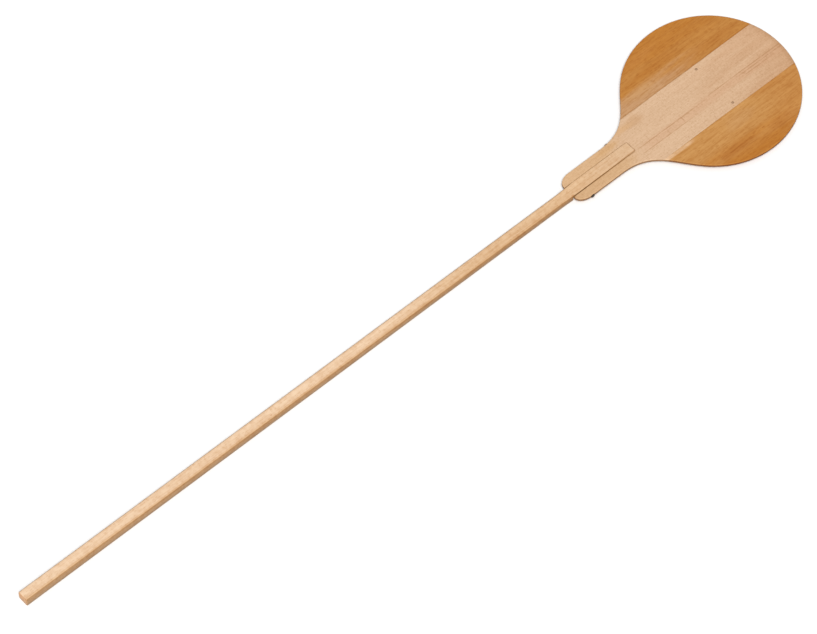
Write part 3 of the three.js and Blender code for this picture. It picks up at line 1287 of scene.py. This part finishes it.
@dataclass
class Peel:
    """The whole peel: its sub-assemblies and the finishes that they share."""

    blade: Blade
    handle: Handle
    screws: tuple[CrossScrew, ...]
    pins: tuple[LockPin, ...]

    def centre_finish(self) -> WoodFinish:
        """The pale flecked beech of the centre board, browner in the fork and by the slot's end.

        Returns:
            The finish.
        """
        blade = self.blade
        x, end, left, right = blade.middle.x, blade.slot_end, blade.slot_left, blade.slot_right
        tip, mouth = x + blade.radius, blade.fork_end - 0.02
        to_fork = Fade(Axis.ALONG, end + 0.01, end - 0.06)
        tones = (
            Tone((211, 175, 136), 1.0, (to_fork,)),
            Tone((206, 169, 129), 1.0, (to_fork, Fade(Axis.ACROSS, blade.line, right))),
            Tone((200, 161, 126), 1.0, (Fade(Axis.ALONG, x - 0.10, tip),)),
            Tone((203, 161, 127), 0.45, (Fade(Axis.ACROSS, -0.002, -0.010), Fade(Axis.ACROSS, -0.027, -0.020),
                                         Fade(Axis.ALONG, end, end + 0.04))),
            # painted shade: a dark band in the gap at the slot's end, between its sides
            Tone((160, 116, 76), 0.55, (Fade(Axis.ALONG, end + 0.0022, end + 0.0006),
                                        Fade(Axis.ALONG, end - 0.0020, end - 0.0005),
                                        Fade(Axis.ACROSS, right - 0.001, right + 0.001),
                                        Fade(Axis.ACROSS, left + 0.001, left - 0.001))),
        )
        patches = (
            Patch((192, 149, 106), 0.5, (x - 0.158, 0.043), (0.030, 0.018)),
            Patch((204, 158, 104), 0.45, (x - 0.192, 0.043), (0.035, 0.012)),
            Patch((202, 157, 100), 0.45, (x - 0.240, 0.030), (0.050, 0.010)),
            Patch((180, 136, 100), 0.6, (x - 0.0875, -0.0145), (0.0016, 0.009)),
            Patch((184, 140, 104), 0.45, (x - 0.127, -0.015), (0.0014, 0.008)),
        )
        # the last spot is painted shade in the corner at the fork's mouth; the others are iron staining about
        # the pins
        stain_or_shade_spots = (*(Stain(pin.crown, pin.head_diameter * 0.75, 0.4) for pin in self.pins),
                  Stain(Vector((blade.fork_end, right, blade.top)), 0.006, 0.9))
        lines = (
            GrainOrShadeLine(-0.0095, 0.0013, 1.0, end, x - 0.02),
            GrainOrShadeLine(-0.0235, 0.0012, 0.8, end, x - 0.04),
            GrainOrShadeLine(-0.0060, 0.0012, 1.0, x - 0.02, tip + 0.03),
            GrainOrShadeLine(-0.0115, 0.0012, 0.9, x + 0.06, tip + 0.05),
            GrainOrShadeLine(-0.0170, 0.0011, 0.7, x + 0.06, tip),
            # painted shade in the gaps beside the slot's two sides
            GrainOrShadeLine(right - 0.0008, 0.0018, 1.0, mouth, end, 0.004),
            GrainOrShadeLine(left, 0.0014, 0.7, mouth, end, 0.004),
            GrainOrShadeLine(blade.joints[Side.LEFT], 0.0018, 1.0, x - 0.24, x + 0.10),
        )
        # painted shade on the board's edge walls
        walls = Weathering(Axis.UP, (0.45, 0.36, 0.28), 0.75, 0.35)
        # painted shade along the rounded rim of the front half
        rim = Rim(blade.middle, 0.160, 0.176, 0.45)
        return WoodFinish("centre_beech", (211, 178, 146), (0.7, 0.6, 0.48), 1.7, (0.02, -0.35), tones, patches,
                          (walls,), stain_or_shade_spots, lines, rim, ring_wander=0.002, fibre_strength=0.2)

    def left_wing_finish(self) -> WoodFinish:
        """The amber wood of the left wing, paler by the neck.

        Returns:
            The finish.
        """
        x = self.blade.middle.x
        inner = self.blade.joints[Side.LEFT]
        pale = Tone((192, 150, 110), 1.0, (Fade(Axis.ALONG, x + 0.08, x - 0.10),
                                           Fade(Axis.ACROSS, inner + 0.045, inner + 0.010)))
        patches = (
            Patch((190, 131, 66), 0.5, (x - 0.05, 0.145), (0.06, 0.018)),
            Patch((170, 105, 36), 0.4, (x - 0.04, 0.113), (0.09, 0.014)),
            Patch((172, 107, 40), 0.3, (x + 0.08, 0.083), (0.08, 0.013)),
            Patch((192, 147, 98), 0.5, (x - 0.10, 0.084), (0.06, 0.020)),
        )
        line = GrainOrShadeLine(inner, 0.0022, 1.0, x - 0.24, x + 0.20)
        return self.wing_finish(Side.LEFT, (184, 127, 62), (pale,), patches, (line,), 4.2)

    def right_wing_finish(self) -> WoodFinish:
        """The amber wood of the right wing, with sapwood by the neck and a dark streak near its rim.

        Returns:
            The finish.
        """
        x = self.blade.middle.x
        inner = self.blade.joints[Side.RIGHT]
        tip = Tone((188, 132, 70), 0.8, (Fade(Axis.ALONG, x + 0.03, x + 0.12),))
        sap = Tone((219, 184, 149), 1.0, (Fade(Axis.ALONG, x - 0.095, x - 0.128),
                                          Fade(Axis.ACROSS, inner - 0.010, inner - 0.005)))
        patches = (
            Patch((196, 149, 96), 0.7, (x - 0.010, -0.082), (0.05, 0.024)),
            Patch((168, 104, 40), 0.6, (x - 0.05, -0.133), (0.075, 0.013)),
            Patch((172, 108, 42), 0.5, (x + 0.05, -0.140), (0.05, 0.016)),
            Patch((176, 115, 50), 0.5, (x + 0.075, -0.064), (0.050, 0.012)),
        )
        lines = (
            GrainOrShadeLine(inner - 0.0012, 0.0026, 0.8, x - 0.17, x + 0.20),
            GrainOrShadeLine(-0.097, 0.0016, 0.5, x - 0.11, x),
            GrainOrShadeLine(-0.133, 0.0020, 0.6, x - 0.10, x + 0.02),
        )
        return self.wing_finish(Side.RIGHT, (194, 143, 83), (tip, sap), patches, lines, 8.9)

    def wing_finish(self, side: Side, base: Shown, tones: tuple[Tone, ...], patches: tuple[Patch, ...],
                    lines: tuple[GrainOrShadeLine, ...], seed: float) -> WoodFinish:
        """The amber wood of a wing, deeper in colour towards its rim, with painted shade on its edge walls.

        Args:
            side: the wing's side.
            base: the wood's colour.
            tones: the colours laid over it.
            patches: its soft patches.
            lines: its single grain lines.
            seed: what sets its grain apart from the other wing's.

        Returns:
            The finish.
        """
        inner = self.blade.joints[side]
        outer = side.value * self.blade.radius
        rim = Tone((182, 119, 46), 1.0, (Fade(Axis.ACROSS, inner + (outer - inner) * 0.25, outer),))
        # painted shade on the wing's edge walls
        walls = Weathering(Axis.UP, (0.42, 0.34, 0.27), 0.75, 0.35)
        return WoodFinish(f"{side.word}_amber", base, (0.78, 0.66, 0.5), seed, (inner * 0.2, -0.16),
                          (rim, *tones), patches, (walls,), lines=lines, slope=0.02, ring_width=0.0065,
                          ring_strength=0.1, band_strength=0.3, streak_strength=0.75, streak_length=0.032,
                          streak_width=0.0035, fleck_strength=0.7, fleck_length=0.012, fleck_width=0.0018,
                          mottle_strength=0.2, mottle_size=0.006)

    def handle_finish(self) -> WoodFinish:
        """The pale straight-grained beech of the handle, with painted shade on its sides, its ends and its
        rounded right edge, and in the gap and the corner at the fork's mouth.

        Returns:
            The finish.
        """
        handle = self.handle
        grip, mouth, end, right = handle.low.x, handle.mouth, handle.high.x, handle.low.y
        tones = (
            Tone((217, 183, 145), 1.0, (Fade(Axis.ALONG, grip + 0.75, mouth - 0.15),)),
            Tone((211, 178, 143), 1.0, (Fade(Axis.ALONG, mouth + 0.03, end - 0.03),)),
            # painted shade on the rounded right edge, outside the fork
            Tone((203, 165, 122), 0.7, (Fade(Axis.ACROSS, right + 0.0061, right + 0.0037),
                                        Fade(Axis.ACROSS, right, right + 0.0015),
                                        Fade(Axis.ALONG, mouth + 0.01, mouth - 0.03))),
            Tone((207, 192, 178), 0.8, (Fade(Axis.UP, 0.011, 0.006),)),
        )
        # painted shade on the sides, and on the ends, where it also stands for end grain's darker tone
        weathering = (Weathering(Axis.ACROSS, (0.57, 0.46, 0.33), 0.35, 0.75),
                      Weathering(Axis.ALONG, (0.89, 0.71, 0.545), 0.5, 0.9))
        # painted shade in the corner at the fork's mouth
        stain_or_shade_spot = Stain(Vector((mouth, right, handle.fork_top)), 0.005, 0.9)
        # painted shade in the gap along the slot's right side
        painted_gap_shade = GrainOrShadeLine(right, 0.0012, 0.9, mouth - 0.02, end + 0.06)
        return WoodFinish("handle_beech", (229, 200, 169), (0.74, 0.6, 0.46), 12.4, (0.05, -0.11), tones, (),
                          weathering, (stain_or_shade_spot,), (painted_gap_shade,), slope=0.006, ring_width=0.005, band_strength=0.16,
                          streak_strength=0.42, streak_length=0.06, fleck_length=0.008, fleck_width=0.0013,
                          mottle_strength=0.34, mottle_size=0.011)

    def build(self) -> None:
        """Builds every piece and gives it its finish."""
        centre = self.centre_finish().material()
        # painted light: the screws are one steel, painted lighter on the left where light falls and darker on
        # the right in shade
        screw_steel_lit_and_shaded = {
            Side.LEFT: SteelFinish("screw_steel_painted_lit", (150, 128, 106), (206, 190, 172), (120, 84, 56)),
            Side.RIGHT: SteelFinish("screw_steel_painted_shade", (52, 42, 36), (96, 84, 74), (70, 44, 30)),
        }
        pin_finish = SteelFinish("pin_steel", (172, 134, 102), (188, 154, 122), (150, 111, 80), metallic=0.3)
        pin_steel = pin_finish.material()
        drilled = [fastener.hole() for fastener in (*self.screws, *self.pins)]
        piece(self.blade.centre_board(drilled), "centre_board", centre)
        for side in Side:
            wing = self.blade.wing(side)
            for pin in self.pins:
                if pin.side is side:
                    cut_away(wing, pin.hole())
            finish = self.left_wing_finish() if side is Side.LEFT else self.right_wing_finish()
            piece(wing, f"{side.word}_wing", finish.material())
        bar = self.handle.bar([screw.hole() for screw in self.screws])
        piece(bar, "handle", self.handle_finish().material())
        for screw in self.screws:
            piece(screw.build(), screw.node, screw_steel_lit_and_shaded[screw.side].material())
        for pin in self.pins:
            piece(pin.build(), pin.node, pin_steel)


def main() -> None:
    """Builds the studio and the peel."""
    logging.basicConfig(level=logging.INFO, format="%(name)s: %(message)s")
    Studio().build()
    screws = tuple(CrossScrew(side) for side in Side)
    pins = tuple(LockPin(side) for side in Side)
    Peel(Blade(), Handle(), screws, pins).build()


if __name__ == "__main__":
    main()
